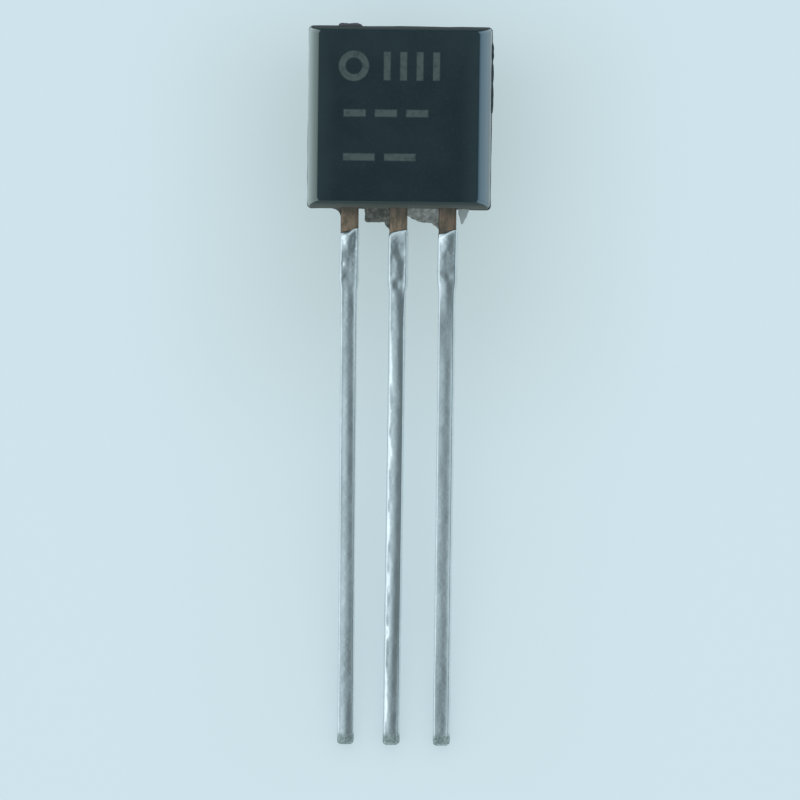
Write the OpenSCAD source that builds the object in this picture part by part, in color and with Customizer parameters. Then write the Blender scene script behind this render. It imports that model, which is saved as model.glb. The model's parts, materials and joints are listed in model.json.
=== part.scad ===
// A three-lead transistor in a half-round moulded body, lying on its round back and its lead tips.
// Every piece is drawn standing: x across the leads, y up the body from the seating plane, z out
// of the flat face, with the middle of the leads at z = 0. lay_down() then turns it to its rest.

/* [Moulded body] */
// Diameter of the round part of the body
body_d = 4.74; // [4.3:0.02:5.4]
// Height of the body at its parting line
body_h = 4.7; // [4.3:0.05:5.4]
// Middle of the leads forward to the flat face
flat_depth = 1.16; // [0.95:0.01:1.6]
// Slope of the end faces on the flat half, in degrees
front_draft = 8; // [2:0.5:12]
// Slope of the end faces on the round half, in degrees
back_draft = 5; // [2:0.5:8]
// Chamfer round the rims of the end faces
rim_chamfer = 0.12; // [0.03:0.01:0.2]
// Width of the broken edge round the flat face
edge_break = 0.05; // [0.02:0.01:0.12]
// Diameter of the ejector mark in the round back
ejector_d = 1; // [0.6:0.05:1.4]
// Depth of the ejector mark at its middle
ejector_depth = 0.1; // [0.06:0.01:0.2]

/* [Parting line and gate stub] */
// Thickness of the parting line
parting_t = 0.05; // [0.02:0.01:0.12]
// How far the parting line stands out of the body
parting_proud = 0.02; // [0.01:0.005:0.05]
// How far the ragged flash on the base side stands out
side_flash_proud = 0.03; // [0.02:0.005:0.1]
// Length of the ragged flash
side_flash_len = 1.8; // [0.8:0.1:3]
// Top of the body down to the ragged flash
side_flash_drop = 0.4; // [0.2:0.05:1]
// Width of the broken gate stub on the top face
gate_w = 0.63; // [0.3:0.01:1]
// Height of the gate stub
gate_h = 0.08; // [0.05:0.01:0.3]
// Thickness of the gate stub
gate_t = 0.3; // [0.2:0.01:0.5]
// Middle of the body out to the middle of the gate stub
gate_offset = 1.3; // [0.5:0.05:1.6]

/* [Leads] */
// Spacing of the leads
lead_pitch = 1.27; // [1.15:0.01:1.55]
// Width of a lead below its shoulders
lead_w = 0.4; // [0.34:0.01:0.46]
// How far a lead is wider on each side above its shoulders
shoulder_out = 0.03; // [0.01:0.005:0.05]
// Thickness of a lead
lead_t = 0.38; // [0.3:0.01:0.48]
// Seating plane down to the lead tips
lead_len = 13.95; // [6:0.05:20]
// Corner cut on each lead tip
tip_cut = 0.07; // [0.02:0.01:0.12]
// Sideways lean of the emitter lead, in degrees
emitter_lean = 0.2; // [-0.5:0.05:0.5]
// Sideways lean of the collector lead, in degrees
collector_lean = -0.15; // [-0.5:0.05:0.5]

/* [Tin coat] */
// Seating plane down to the top of the coat
coat_drop = 0.62; // [0.4:0.01:1.5]
// How much higher the coat climbs on one side of a lead
coat_slant = 0.14; // [0.02:0.01:0.25]
// Thickness of the coat on the middle of a lead's edges
coat_edge_t = 0.015; // [0.01:0.001:0.04]
// Thickness of the coat on the middle of a lead's faces
coat_face_t = 0.035; // [0.012:0.001:0.05]
// Thickness of the coat at a lead's corners
coat_corner_t = 0.006; // [0.004:0.001:0.009]
// Length of the thicker collar at the top of the coat, which ends at the lead's shoulders
collar_len = 1.2; // [0.5:0.1:3]
// Extra thickness of the collar
collar_t = 0.018; // [0.008:0.001:0.04]
// Length over which the collar thins out below
collar_fade = 0.35; // [0.1:0.05:0.8]

/* [Flash between the leads] */
// Thickness of the resin web beside the collector lead
web_t = 0.3; // [0.1:0.01:0.36]
// Depth of the web below the seating plane
web_drop = 0.36; // [0.1:0.01:0.4]
// Gap between the web and the emitter lead
web_gap = 0.15; // [0.05:0.01:0.3]
// Depth of the web's heel along the collector lead
web_heel = 0.2; // [0.05:0.01:0.3]
// Thickness of the resin film beside the base lead
film_t = 0.06; // [0.03:0.01:0.15]
// Depth of the film below the seating plane
film_drop = 0.37; // [0.15:0.01:0.5]
// Front of the leads back to the film
film_inset = 0.06; // [0:0.01:0.2]
// Width of the loose flake outside the base lead
flake_w = 0.26; // [0.1:0.01:0.4]
// Depth of the flake below the seating plane
flake_drop = 0.4; // [0.1:0.01:0.6]
// Gap between the flake and the base lead
flake_gap = 0.05; // [0.02:0.01:0.1]
// Size of the resin fillet outside the emitter lead
root_fillet = 0.2; // [0.05:0.01:0.35]

/* [Inside the body] */
// Width of the collector's die pad
pad_w = 1.3; // [0.9:0.05:1.6]
// Height of the die pad
pad_h = 1.35; // [0.9:0.05:1.7]
// Seating plane up to the die pad
pad_y = 1.75; // [1.2:0.05:2.2]
// Gap between the die pad and the posts
post_gap = 0.2; // [0.1:0.01:0.3]
// How far a post spreads outside its lead
post_wing = 0.22; // [0.1:0.01:0.3]
// Seating plane up to the posts' shoulders
post_y = 1; // [0.6:0.05:1.4]
// Height of the posts above their shoulders
post_h = 1.6; // [1.1:0.05:2]
// Radius of the locking notches in the pad and posts
notch_r = 0.13; // [0.06:0.01:0.17]
// Corner cut on the pad and posts
stamp_cut = 0.12; // [0.04:0.01:0.2]
// Side of the silicon die
die_w = 0.42; // [0.3:0.01:0.6]
// Thickness of the die
die_t = 0.2; // [0.1:0.01:0.28]
// Thickness of the bond layer under the die
attach_t = 0.025; // [0.01:0.005:0.05]
// How far the bond layer shows round the die
attach_rim = 0.025; // [0.01:0.005:0.06]
// Middle of the die out to each contact
contact_offset = 0.1; // [0.07:0.01:0.13]
// Diameter of a bond wire
wire_d = 0.033; // [0.025:0.001:0.05]
// Height of a wire's arch above its ends
wire_rise = 0.26; // [0.15:0.01:0.36]
// Diameter of the ball on the die
ball_d = 0.09; // [0.07:0.005:0.12]
// Height of the ball
ball_t = 0.03; // [0.02:0.005:0.05]
// Length of the stitch on the post
stitch_len = 0.13; // [0.08:0.01:0.2]
// Width of the stitch
stitch_w = 0.07; // [0.05:0.005:0.1]
// Thickness of the stitch
stitch_t = 0.012; // [0.008:0.001:0.02]

/* [Hidden] */
$fn = 96;

body_r = body_d / 2;
// Half the width of the flat face, and the angle at which it meets the round sides
flat_half = sqrt(pow(body_r, 2) - pow(flat_depth, 2));
flat_turn = acos(flat_depth / body_r);
// How deep the pieces of one moulding run into each other
merge = 0.1;
// How far cutting shapes reach past what they cut
past = 1;

coat_half_t = lead_t / 2 + coat_face_t;
lead_front = lead_t / 2;
// Half the width of a lead above its shoulders, and the height at which the shoulders begin
root_half = lead_w / 2 + shoulder_out;
shoulder_y = -coat_drop - collar_len;
die_front = lead_front + attach_t + die_t;
post_inner = pad_w / 2 + post_gap;
post_outer = lead_pitch + root_half + post_wing;
post_top = post_y + post_h;
die_y = pad_y + pad_h / 2;
stitch_x = (post_inner + post_outer) / 2 - stitch_len;
stitch_y = post_top - 2 * stitch_len;

// The body's heel is where the chamfered rim of the lower end meets the line along its round back.
// It is found in the sloping plane of the end face: heel_in is its depth behind that plane.
heel_in = (body_r - (body_r - rim_chamfer) * cos(back_draft)) / (cos(back_draft) - sin(back_draft));
heel_y = (body_r - rim_chamfer + heel_in) * sin(back_draft) + heel_in * cos(back_draft);
// At rest the heel and the back edges of the lead tips are level
rest_tilt = atan((body_r - coat_half_t) / (lead_len + heel_y));
rest_z = body_r * cos(rest_tilt) - heel_y * sin(rest_tilt);
// Furthest points up and down the part once it lies, which set the middle of its length
crown_r = body_r - rim_chamfer;
crown_y = (body_h - crown_r * sin(back_draft)) * cos(rest_tilt) + crown_r * cos(back_draft) * sin(rest_tilt);
tip_y = -lead_len * cos(rest_tilt) - coat_half_t * sin(rest_tilt);
middle_y = (crown_y + tip_y) / 2;

// The ragged flash, as shares of its length up the body and of its width out of it
side_flash_outline = [[0, -1], [0, 0.2], [0.1, 0.8], [0.32, 1], [0.42, 0.4], [0.52, 1], [0.66, 0.9],
    [0.72, 0.1], [0.8, 0.9], [0.94, 0.8], [1, 0.1], [1, -1]];

module lay_down() {
    translate([0, -middle_y, rest_z]) rotate([rest_tilt, 0, 0]) children();
}

// A flat outline in x and y, made into a sheet of thickness t in the middle of the leads
module sheet(t) {
    linear_extrude(t, center = true) children();
}

// Everything above the lower end face: a cone cuts the rim's chamfer, and a plane the end
module above_end(draft) {
    reach = body_h + past;
    rotate([draft, 0, 0]) rotate([-90, 0, 0]) rotate_extrude()
        polygon([[0, 0], [body_r - rim_chamfer, 0], [body_r + past, rim_chamfer + past],
            [body_r + past, reach], [0, reach]]);
}

// The round bar between the two sloping end faces
module body_bar(draft) {
    intersection() {
        translate([0, -past, 0]) rotate([-90, 0, 0]) cylinder(r = body_r, h = body_h + 2 * past);
        above_end(draft);
        translate([0, body_h, 0]) mirror([0, 1, 0]) above_end(draft);
    }
}

// The flat face with its long edges broken, as a section across the leads
module flat_section() {
    half = flat_half - edge_break / 2;
    run = body_r + past;
    drop = run * tan(flat_turn / 2);
    polygon([[-half, flat_depth], [half, flat_depth], [half + run, flat_depth - drop],
        [half + run, -past], [-half - run, -past], [-half - run, flat_depth - drop]]);
}

// The flat face with its short edges broken, as a section along the leads
module flat_profile() {
    slope = flat_depth * tan(front_draft) + edge_break / 2;
    run = flat_depth + past;
    polygon([[slope, flat_depth], [body_h - slope, flat_depth],
        [body_h - slope + run, flat_depth - run], [slope - run, flat_depth - run]]);
}

module front_half() {
    intersection() {
        body_bar(-front_draft);
        translate([0, body_h + past, 0]) rotate([90, 0, 0]) linear_extrude(body_h + 2 * past) flat_section();
        translate([-body_r - past, 0, 0]) rotate([90, 0, 90]) linear_extrude(body_d + 2 * past)
            flat_profile();
        translate([-body_r - past, -past, parting_t / 2])
            cube([body_d + 2 * past, body_h + 2 * past, flat_depth + past]);
    }
}

module back_half() {
    difference() {
        intersection() {
            body_bar(back_draft);
            translate([-body_r - past, -past, -body_r - past])
                cube([body_d + 2 * past, body_h + 2 * past, body_r + past - parting_t / 2]);
        }
        translate([0, body_h / 2, -body_r - past]) cylinder(d = ejector_d, h = past + ejector_depth);
    }
}

// The line of resin at the lead plane, which goes right through between the halves
module parting_line() {
    half = body_r + parting_proud;
    low = -parting_proud;
    high = body_h + parting_proud;
    cut = rim_chamfer;
    sheet(parting_t) polygon([[-half + cut, low], [half - cut, low], [half, low + cut],
        [half, high - cut], [half - cut, high], [-half + cut, high], [-half, high - cut],
        [-half, low + cut]]);
}

module side_flash() {
    top = body_h - side_flash_drop;
    sheet(parting_t) polygon([for (p = side_flash_outline)
        [body_r + parting_proud + p[1] * side_flash_proud, top - (1 - p[0]) * side_flash_len]]);
}

module gate_stub() {
    half = gate_w / 2;
    translate([-gate_offset, body_h, 0]) sheet(gate_t)
        polygon([[-half, -merge], [-half, 0], [-0.9 * half, 0.7 * gate_h], [-0.7 * half, gate_h],
            [0.55 * half, 0.95 * gate_h], [0.9 * half, 0.6 * gate_h], [half, 0], [half, -merge]]);
}

// The thick web runs from the collector lead towards the emitter lead and stops short of it
module web() {
    far = -lead_pitch + root_half + web_gap;
    near = -root_half;
    into = root_half / 2;
    sheet(web_t) polygon([[far, merge], [far + 0.05 * web_drop, -0.85 * web_drop],
        [far + 0.2 * web_drop, -0.98 * web_drop], [near - 0.7 * web_heel, -web_drop],
        [near, -web_drop - web_heel], [near + into, -web_drop - web_heel], [near + into, merge]]);
}

// The thin film spans from the collector lead to the base lead, deepest at the base lead
module film() {
    near = root_half;
    far = lead_pitch - root_half;
    into = root_half / 2;
    translate([0, 0, lead_front - film_inset - film_t / 2]) sheet(film_t)
        polygon([[near - into, merge], [near - into, -0.5 * film_drop],
            [near + 0.15 * film_drop, -0.55 * film_drop], [near + 0.65 * film_drop, -0.88 * film_drop],
            [far - 0.5 * film_drop, -film_drop], [far, -1.4 * film_drop], [far + into, -1.4 * film_drop],
            [far + into, merge]]);
}

module flake() {
    start = lead_pitch + root_half + flake_gap;
    translate([0, 0, lead_front - film_inset - film_t / 2]) sheet(film_t)
        polygon([[start, merge], [start + 0.05 * flake_w, -0.3 * flake_drop],
            [start + 0.25 * flake_w, -flake_drop], [start + 0.5 * flake_w, -0.95 * flake_drop],
            [start + flake_w, -0.15 * flake_drop], [start + flake_w, merge]]);
}

// A hollow curve from the body's end down the outside of the emitter lead
module fillet_web() {
    side = -lead_pitch - root_half;
    into = root_half / 2;
    steps = 4;
    rim = 0.06 * root_fillet;
    sheet(web_t) polygon(concat([[side + into, merge], [side - root_fillet, merge]],
        [for (i = [0 : steps]) let (a = 90 * i / steps)
            [side - root_fillet * (1 - sin(a)) - rim, -root_fillet * (1 - cos(a)) - rim]],
        [[side + into, -root_fillet - rim]]));
}

module resin() {
    front_half();
    back_half();
    parting_line();
    side_flash();
    gate_stub();
    web();
    film();
    flake();
    fillet_web();
}

// Outline of a lead below the seating plane, down one side and up the other; shift moves its tip
function lead_points(x, shift) =
    let (half = lead_w / 2, tip = x + shift, step = x - shift * shoulder_y / lead_len)
    [[x - root_half, 0], [step - root_half, shoulder_y], [step - half, shoulder_y - shoulder_out],
        [tip - half, -lead_len + tip_cut], [tip - half + tip_cut, -lead_len],
        [tip + half - tip_cut, -lead_len], [tip + half, -lead_len + tip_cut],
        [step + half, shoulder_y - shoulder_out], [step + root_half, shoulder_y], [x + root_half, 0]];

// An outer lead on the +x side, with its bonding post; shift moves its tip outwards
module outer_lead_shape(shift) {
    high = post_top - stamp_cut;
    difference() {
        polygon(concat(lead_points(lead_pitch, shift),
            [[lead_pitch + root_half, post_y], [post_outer, post_y + stamp_cut], [post_outer, high],
                [post_outer - stamp_cut, post_top], [post_inner, post_top],
                [post_inner, post_y + 3 * stamp_cut], [lead_pitch - root_half, post_y]]));
        translate([post_outer, (post_y + post_top) / 2]) circle(r = notch_r);
    }
}

module middle_lead_shape(shift) {
    half = pad_w / 2;
    high = pad_y + pad_h;
    difference() {
        polygon(concat(lead_points(0, shift),
            [[root_half, pad_y - stamp_cut], [half - stamp_cut, pad_y], [half, pad_y + stamp_cut],
                [half, high - stamp_cut], [half - stamp_cut, high], [-half + stamp_cut, high],
                [-half, high - stamp_cut], [-half, pad_y + stamp_cut], [-half + stamp_cut, pad_y],
                [-root_half, pad_y - stamp_cut]]));
        for (side = [-1, 1]) translate([side * half, die_y]) circle(r = notch_r);
    }
}

module emitter_lead_solid() {
    sheet(lead_t) mirror([1, 0, 0]) outer_lead_shape(-lead_len * tan(emitter_lean));
}

module collector_lead_solid() {
    sheet(lead_t) middle_lead_shape(lead_len * tan(collector_lean));
}

module base_lead_solid() {
    sheet(lead_t) outer_lead_shape(0);
}

// Section of a coated lead of the given half width: four shallow arcs, of which the two on the
// lead's faces bulge by the extra as well
module coated_section(half, extra) {
    half_w = half + coat_edge_t;
    half_t = coat_half_t + extra;
    corner_w = half + coat_corner_t;
    corner_t = lead_t / 2 + coat_corner_t;
    intersection_for (turn = [[half_w, corner_w, corner_t, 0], [half_t, corner_t, corner_w, 90]]) {
        bulge = turn[0] - turn[1];
        r = (pow(bulge, 2) + pow(turn[2], 2)) / (2 * bulge);
        rotate(turn[3]) intersection_for (side = [-1, 1])
            translate([side * (turn[0] - r), 0]) circle(r = r, $fn = 240);
    }
}

// Outline of the collar seen square on: above and below are half widths of the lead there, thick
// is the room for the coat, and lift raises one upper corner
module collar_outline(above, below, thick, lift) {
    full = above + thick;
    start = above + coat_corner_t;
    swell = collar_fade / 2;
    low = shoulder_y - collar_fade;
    polygon([[-start, -coat_drop], [start, -coat_drop + lift], [full, -coat_drop + lift - swell],
        [full, shoulder_y], [below, low], [-below, low], [-full, shoulder_y],
        [-full, -coat_drop - swell]]);
}

// The whole coat round a straight lead, still without the room for the lead
module coat_block() {
    slim_top = -coat_drop - collar_fade / 2;
    past_all = 2 * coat_half_t + past;
    tip = lead_w / 2 + coat_edge_t - tip_cut;
    intersection() {
        translate([0, slim_top, 0]) rotate([90, 0, 0]) linear_extrude(lead_len + slim_top)
            coated_section(lead_w / 2, 0);
        sheet(past_all) polygon([[-tip, -lead_len], [tip, -lead_len], [tip + lead_w, -lead_len + lead_w],
            [tip + lead_w, 0], [-tip - lead_w, 0], [-tip - lead_w, -lead_len + lead_w]]);
    }
    intersection() {
        translate([0, past, 0]) rotate([90, 0, 0]) linear_extrude(lead_len)
            coated_section(root_half, collar_t);
        sheet(past_all) collar_outline(root_half, lead_w / 2, coat_edge_t + coat_corner_t, coat_slant);
        rotate([0, 90, 0]) sheet(past_all) collar_outline(lead_t / 2, lead_t / 2, coat_face_t + collar_t, 0);
    }
}

module coat(x, lean) {
    translate([x, 0, 0]) rotate([0, 0, lean]) coat_block();
}

// An arch of wire from a contact on the die to a stitch on a post, with its ball and its stitch
module bond_wire(from, to) {
    run = norm(to - from);
    start_z = die_front + ball_t;
    end_z = lead_front + stitch_t;
    chord = norm([run, start_z - end_z]);
    dip = atan2(start_z - end_z, run);
    arch_r = (pow(chord / 2, 2) + pow(wire_rise, 2)) / (2 * wire_rise);
    half_turn = 2 * atan(2 * wire_rise / chord);
    heading = atan2(to[1] - from[1], to[0] - from[0]);
    intersection() {
        translate([from[0], from[1], start_z]) rotate([0, dip, heading])
            translate([chord / 2, 0, wire_rise - arch_r]) rotate([90, 0, 0]) rotate([0, 0, 90 - half_turn])
            rotate_extrude(angle = 2 * half_turn) translate([arch_r, 0]) circle(d = wire_d, $fn = 24);
        translate([-body_r, 0, lead_front]) cube([body_d, body_h, body_r]);
    }
    translate([from[0], from[1], die_front]) cylinder(d = ball_d, h = ball_t, $fn = 24);
    translate([to[0], to[1], lead_front + stitch_t / 2]) rotate([0, 0, heading])
        cube([stitch_len, stitch_w, stitch_t], center = true);
}

module emitter_wire_solid() {
    bond_wire([-contact_offset, die_y], [-stitch_x, stitch_y]);
}

module base_wire_solid() {
    bond_wire([contact_offset, die_y], [stitch_x, stitch_y]);
}

module die_solid() {
    translate([-die_w / 2, die_y - die_w / 2, lead_front + attach_t]) cube([die_w, die_w, die_t]);
}

module die_bond_solid() {
    side = die_w + 2 * attach_rim;
    translate([-side / 2, die_y - side / 2, lead_front]) cube([side, side, attach_t]);
}

module moulded_body() {
    color([0.15, 0.2, 0.22]) lay_down() difference() {
        resin();
        emitter_lead_solid();
        collector_lead_solid();
        base_lead_solid();
        die_solid();
        die_bond_solid();
        emitter_wire_solid();
        base_wire_solid();
    }
}

module emitter_lead() {
    color([0.45, 0.36, 0.3]) lay_down() emitter_lead_solid();
}

module collector_lead() {
    color([0.45, 0.36, 0.3]) lay_down() collector_lead_solid();
}

module base_lead() {
    color([0.45, 0.36, 0.3]) lay_down() base_lead_solid();
}

module emitter_lead_coat() {
    color([0.66, 0.71, 0.72]) lay_down() difference() {
        coat(-lead_pitch, emitter_lean);
        emitter_lead_solid();
    }
}

module collector_lead_coat() {
    color([0.66, 0.71, 0.72]) lay_down() difference() {
        coat(0, collector_lean);
        collector_lead_solid();
    }
}

module base_lead_coat() {
    color([0.66, 0.71, 0.72]) lay_down() difference() {
        coat(lead_pitch, 0);
        base_lead_solid();
    }
}

module silicon_die() {
    color([0.3, 0.32, 0.38]) lay_down() die_solid();
}

module die_bond() {
    color([0.75, 0.74, 0.7]) lay_down() die_bond_solid();
}

module emitter_wire() {
    color([0.85, 0.68, 0.3]) lay_down() emitter_wire_solid();
}

module base_wire() {
    color([0.85, 0.68, 0.3]) lay_down() base_wire_solid();
}

moulded_body();
emitter_lead();
collector_lead();
base_lead();
emitter_lead_coat();
collector_lead_coat();
base_lead_coat();
silicon_die();
die_bond();
emitter_wire();
base_wire();
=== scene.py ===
import json
import math

import bpy
import numpy as np
from mathutils import Matrix, Vector


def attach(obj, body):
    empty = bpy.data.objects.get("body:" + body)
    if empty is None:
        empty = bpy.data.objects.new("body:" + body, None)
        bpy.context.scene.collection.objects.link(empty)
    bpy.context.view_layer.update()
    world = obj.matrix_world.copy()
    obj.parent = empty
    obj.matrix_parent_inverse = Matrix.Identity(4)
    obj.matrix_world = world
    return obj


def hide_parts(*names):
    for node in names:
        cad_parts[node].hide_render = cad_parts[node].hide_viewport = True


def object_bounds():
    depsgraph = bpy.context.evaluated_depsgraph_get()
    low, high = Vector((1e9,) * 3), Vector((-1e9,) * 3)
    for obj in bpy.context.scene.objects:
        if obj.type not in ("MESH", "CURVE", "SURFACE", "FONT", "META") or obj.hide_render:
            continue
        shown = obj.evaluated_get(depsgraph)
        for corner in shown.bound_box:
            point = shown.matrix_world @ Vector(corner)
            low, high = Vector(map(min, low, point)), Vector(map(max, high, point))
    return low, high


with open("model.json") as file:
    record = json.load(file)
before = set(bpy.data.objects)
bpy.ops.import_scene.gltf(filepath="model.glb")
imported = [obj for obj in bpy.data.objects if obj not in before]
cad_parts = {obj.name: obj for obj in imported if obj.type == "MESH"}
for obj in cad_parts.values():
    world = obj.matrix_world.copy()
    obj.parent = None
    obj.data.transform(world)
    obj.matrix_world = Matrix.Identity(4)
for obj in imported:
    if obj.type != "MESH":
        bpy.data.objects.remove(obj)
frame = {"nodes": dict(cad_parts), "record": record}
cad_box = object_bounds()

# Everything is worked out in millimetres in the part's own drawing: x across the leads, y up the
# body from the seating plane, z out of the flat face. to_world() then lays it down in metres.
MM = 0.001
MICRON = 0.001

# Moulded body
BODY_R = 2.37
BODY_H = 4.7
FLAT_DEPTH = 1.16
FRONT_DRAFT = math.radians(8)
BACK_DRAFT = math.radians(5)
RIM_ROUND = 0.12
EDGE_ROUND = 0.05
EJECTOR_R = 0.5
EJECTOR_DEPTH = 0.1
EJECTOR_ROUND = 0.015
PARTING_T = 0.05
PARTING_PROUD = 0.02
PARTING_ROUND = 0.012
SIDE_FLASH_PROUD = 0.03
SIDE_FLASH_LEN = 1.8
SIDE_FLASH_DROP = 0.4
GATE_W = 0.63
GATE_H = 0.08
GATE_T = 0.3
GATE_OFFSET = 1.3

# Leads
LEAD_PITCH = 1.27
LEAD_W = 0.4
LEAD_T = 0.38
SHOULDER_OUT = 0.03
LEAD_LEN = 13.95
LEAD_ROUND = 0.045
LEAD_INSET = 0.003
TIP_CUT = 0.07
EMITTER_LEAN = math.radians(0.2)
COLLECTOR_LEAN = math.radians(-0.15)

# The leads' tin: where it starts, its thickness, its collar and its waves
COAT_DROP = 0.62
COAT_SLANT = 0.14
COAT_RAGGED = 0.035
COAT_SINK = 0.03
COAT_LIP = 0.14
COAT_RIM_T = 0.0012
COAT_LEAST_T = 0.0015
COAT_MOST_T = 0.062
COAT_CORNER_T = 0.005
COAT_ROUND = 0.025
COLLAR_LEN = 1.2
COLLAR_T = 0.018
COLLAR_FADE = 0.35
LONG_WAVE = 0.008
SHORT_WAVE = 0.006
FINE_WAVE = 0.0025
BEAD_ACROSS = -0.8
BEAD_SPREAD = 0.3
TIP_DRAW = (0.3, 0, 0.16)
CORE_IN = 0.03
ROOT_HALF = LEAD_W / 2 + SHOULDER_OUT
SHOULDER_Y = -COAT_DROP - COLLAR_LEN

# Bonding posts and die pad, stamped in one piece with the leads
PAD_W = 1.3
PAD_H = 1.35
PAD_Y = 1.75
POST_GAP = 0.2
POST_WING = 0.22
POST_Y = 1.0
POST_H = 1.6
NOTCH_R = 0.13
STAMP_CUT = 0.12

# Flash between the leads
WEB_T = 0.3
WEB_DROP = 0.36
WEB_GAP = 0.15
WEB_HEEL = 0.2
FILM_T = 0.06
FILM_DROP = 0.37
FILM_INSET = 0.06
FLAKE_W = 0.26
FLAKE_DROP = 0.4
FLAKE_GAP = 0.05
ROOT_FILLET = 0.2

# How far up into the body the flash reaches, and the fillet where it leaves the body
MERGE = 0.1
FLASH_FILLET = 0.02
FLASH_ROUND = 0.02

# Plain marks on the flat face. The ring: its middle, radius and width. Each row of blocks: its first
# middle, its step, its count and half a block's width and height. Then how far their edges blur.
MARK_RING = ((-1.15, 3.62), 0.3, 0.17)
MARK_ROWS = (
    ((-0.3, 3.62), 0.42, 4, (0.085, 0.36)),
    ((-1.12, 2.42), 0.8, 3, (0.28, 0.09)),
    ((-1.0, 1.3), 1.05, 2, (0.4, 0.09)),
)
MARK_BLUR = 0.02

# Camera: leans from straight above, its distance, and what it is centred on
CAMERA_LEAN_X = math.radians(1.8)
CAMERA_LEAN_Y = math.radians(5.9)
CAMERA_ROLL = math.radians(0.96)
CAMERA_DISTANCE = 87.3
VIEW_WIDTH = 20.79
LOOK_AT = (0.093, -4.961, 0)

# Colours of the backdrop and of the light, then what the shine shows: a dark patch overhead and a
# window beside it. Each lies between four values of the x or y part of its direction, faded in and out.
BACKGROUND = (0.62, 0.765, 0.83)
# Painted shade: the floor's colour round the part, on top of its real shadow.
SHADED_FLOOR = (0.31, 0.39, 0.27)
FLOOR_GLOW = 0.65
FLOOR_HALF = 1.5
HORIZON_LIGHT = (0.62, 0.64, 0.65)
TOP_LIGHT = (1.2, 1.2, 1.2)
LIGHT_LEAN = -0.1
DARK_COLOUR = (0.14, 0.183, 0.197)
DARK_ACROSS = (-0.2, 0.36, 0.53, 0.75)
WINDOW_COLOUR = (1.15, 1.31, 1.38)
WINDOW_ACROSS = (-0.6, -0.37, -0.23, -0.14)
ALONG = (-0.8, -0.5, 0.15, 0.45)

# Colours of the finishes, and of the light and shade painted on some of them. A pair is blended by noise,
# or from one place on the piece to another.
RESIN = ((0.001, 0.0145, 0.021), (0.004, 0.0195, 0.026))
# Paler tone towards the sides and the top of the resin.
RESIN_PALE_TONE = (0.014, 0.036, 0.043)
RESIN_SPECK = (0.016, 0.036, 0.043)
# Painted reflections on the front half's round sides: paler olive on the left, blue on the right, with
# painted shade at the right's outer edge.
LEFT_SIDE_PAINTED_REFLECTION = ((0.07, 0.1, 0.09), (0.18, 0.235, 0.21))
RIGHT_SIDE_PAINTED_REFLECTION = ((0.022, 0.072, 0.11), (0.04, 0.102, 0.147))
RIGHT_EDGE_PAINTED_SHADE = (0.0, 0.02, 0.035)
# Painted light on the lower end and painted shade on the upper end, each paler towards the parting line.
LOWER_END_PAINTED_LIGHT = ((0.042, 0.063, 0.064), (0.12, 0.137, 0.123))
UPPER_END_PAINTED_SHADE = ((0.008, 0.024, 0.03), (0.05, 0.06, 0.06))
MARKS = (0.052, 0.078, 0.08)
WEB = ((0.063, 0.076, 0.073), (0.137, 0.152, 0.138))
# Thin flash in two tones; each turns paler close under the body, painted light where the body's shade
# falls.
FILM_DARK_PAINTED_LIGHT = ((0.12, 0.14, 0.135), (0.175, 0.2, 0.195))
FILM_PALE_PAINTED_LIGHT = ((0.22, 0.26, 0.25), (0.31, 0.36, 0.355))
FLAKE = (0.285, 0.35, 0.36)
# Parting line: darker, then paler at the far left edge, partly its own pale flash and partly painted
# light.
PARTING_WITH_PAINTED_LIGHT = ((0.04, 0.06, 0.07), (0.25, 0.31, 0.31))
GATE = (0.09, 0.1, 0.125)
TIN = ((0.72, 0.76, 0.77), (0.8, 0.835, 0.845))
DULL_TIN = ((0.3, 0.36, 0.34), (0.52, 0.57, 0.55))
COPPER = ((0.145, 0.125, 0.095), (0.275, 0.2, 0.14))
COPPER_BASE_SHADE = (0.02, 0.02, 0.02)
COPPER_TOP_SHADE = (0.09, 0.085, 0.075)
SILICON = ((0.09, 0.1, 0.13), (0.16, 0.17, 0.2))
BOND = ((0.5, 0.48, 0.42), (0.66, 0.64, 0.58))
GOLD = ((0.78, 0.56, 0.2), (0.85, 0.64, 0.28))


def mount(name):
    found = next(m for m in frame["record"]["mounts"] if m["name"] == name)
    return np.array(found["pos_m"]) / MM, np.array(found["axis"])


face_middle, out_axis = mount("flat_face")
up_axis = -mount("base_lead_tip")[1]
drawing_axes = np.column_stack([(1, 0, 0), up_axis, out_axis])
seat = face_middle - FLAT_DEPTH * out_axis - BODY_H / 2 * up_axis
tilt = math.asin(up_axis[2])


def to_world(points):
    return (np.asarray(points) @ drawing_axes.T + seat) * MM


# Noise and shapes as signed distances, negative inside

def lumps(points, size, seed):
    """Smooth noise from -1 to 1, with bumps of about that size."""
    lattice = np.random.default_rng(seed).uniform(-1, 1, (32, 32, 32))
    cell = np.asarray(points) / size
    base = np.floor(cell).astype(int)
    t = cell - base
    t = t * t * (3 - 2 * t)
    total = np.zeros(cell.shape[:-1])
    for corner in np.ndindex(2, 2, 2):
        weight = np.prod(np.where(corner, t, 1 - t), axis=-1)
        place = (base + corner) % 32
        total += weight * lattice[place[..., 0], place[..., 1], place[..., 2]]
    return total


def rounded_meet(a, b, radius):
    """Where two shapes overlap, with that radius on the edge."""
    past = np.hypot(np.maximum(a + radius, 0), np.maximum(b + radius, 0))
    return np.minimum(np.maximum(a, b), -radius) + past


def rounded_join(a, b, radius):
    """Two shapes together, with a fillet of that radius between them."""
    short = np.hypot(np.maximum(radius - a, 0), np.maximum(radius - b, 0))
    return np.maximum(np.minimum(a, b), radius) - short


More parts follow.
